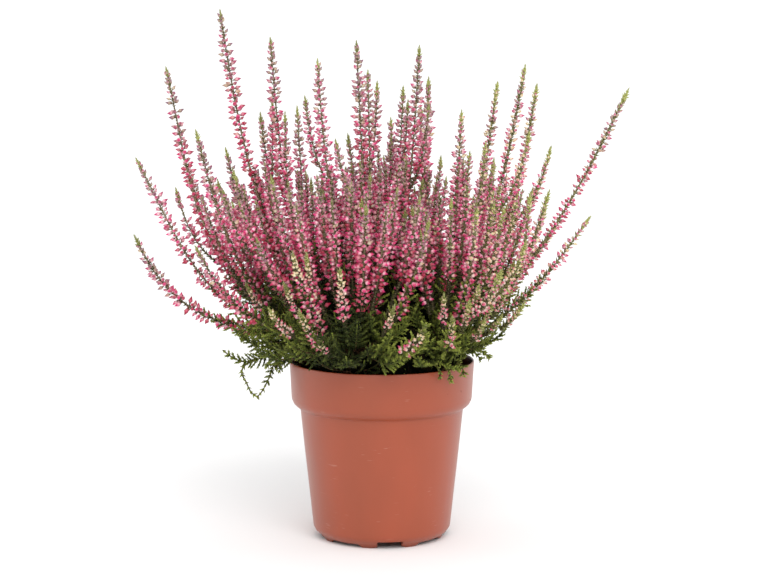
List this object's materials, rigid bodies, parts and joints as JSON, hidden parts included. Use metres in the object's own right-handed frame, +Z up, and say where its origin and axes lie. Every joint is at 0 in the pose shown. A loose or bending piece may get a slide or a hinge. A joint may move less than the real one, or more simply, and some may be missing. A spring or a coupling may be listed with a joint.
{
  "type": "potted heather",
  "caption": "Budding heather plant: upright pink flower spikes over a bushy green base, rooted in compost in a round terracotta-coloured nursery pot with a banded rim and footed base.",
  "frame": {"origin": "on the ground under the middle of the pot, at the height of the pot's feet", "axes": "+Z up along the pot's axis; -Y is the front, +X to the right seen from the front"},
  "size_m": [0.318, 0.225, 0.341],
  "materials": {
    "pot_plastic": "satin terracotta-coloured polypropylene",
    "compost": "dark crumbly peat and bark",
    "foliage": "dark green scale leaves on thin woody stems",
    "buds": "soft matt pink flower buds",
    "pale_buds": "soft matt cream flower buds"
  },
  "bodies": {
    "root": {"pot": "pot_plastic", "compost": "compost", "leafy_clump_middle": "foliage", "spike_middle_01": "buds", "spike_middle_02": "buds", "spike_middle_03": "buds", "spike_middle_04": "buds", "spike_middle_05": "buds", "leafy_clump_front_right": "foliage", "spike_front_right_01": "buds", "spike_front_right_02": "buds", "spike_front_right_03": "buds", "spike_front_right_04": "buds", "spike_front_right_05": "buds", "spike_front_right_06": "buds", "spike_front_right_07": "buds", "spike_front_right_08": "buds", "spike_front_right_09": "buds", "spike_front_right_10": "buds", "spike_front_right_11": "buds", "spike_front_right_12": "pale_buds", "spike_front_right_13": "buds", "leafy_clump_back_right": "foliage", "spike_back_right_01": "buds", "spike_back_right_02": "buds", "spike_back_right_03": "buds", "spike_back_right_04": "buds", "spike_back_right_05": "buds", "spike_back_right_06": "buds", "spike_back_right_07": "buds", "spike_back_right_08": "buds", "spike_back_right_09": "buds", "leafy_clump_back_left": "foliage", "spike_back_left_01": "buds", "spike_back_left_02": "buds", "spike_back_left_03": "buds", "spike_back_left_04": "buds", "spike_back_left_05": "buds", "spike_back_left_06": "buds", "spike_back_left_07": "buds", "spike_back_left_08": "buds", "spike_back_left_09": "buds", "spike_back_left_10": "buds", "spike_back_left_11": "buds", "spike_back_left_12": "buds", "spike_back_left_13": "buds", "leafy_clump_front_left": "foliage", "spike_front_left_01": "buds", "spike_front_left_02": "buds", "spike_front_left_03": "buds", "spike_front_left_04": "pale_buds", "spike_front_left_05": "buds", "spike_front_left_06": "buds", "spike_front_left_07": "buds", "spike_front_left_08": "buds", "spike_front_left_09": "buds", "spike_front_left_10": "pale_buds", "spike_front_left_11": "pale_buds", "spike_front_left_12": "pale_buds", "spike_front_left_13": "pale_buds"}
  },
  "joints": []
}
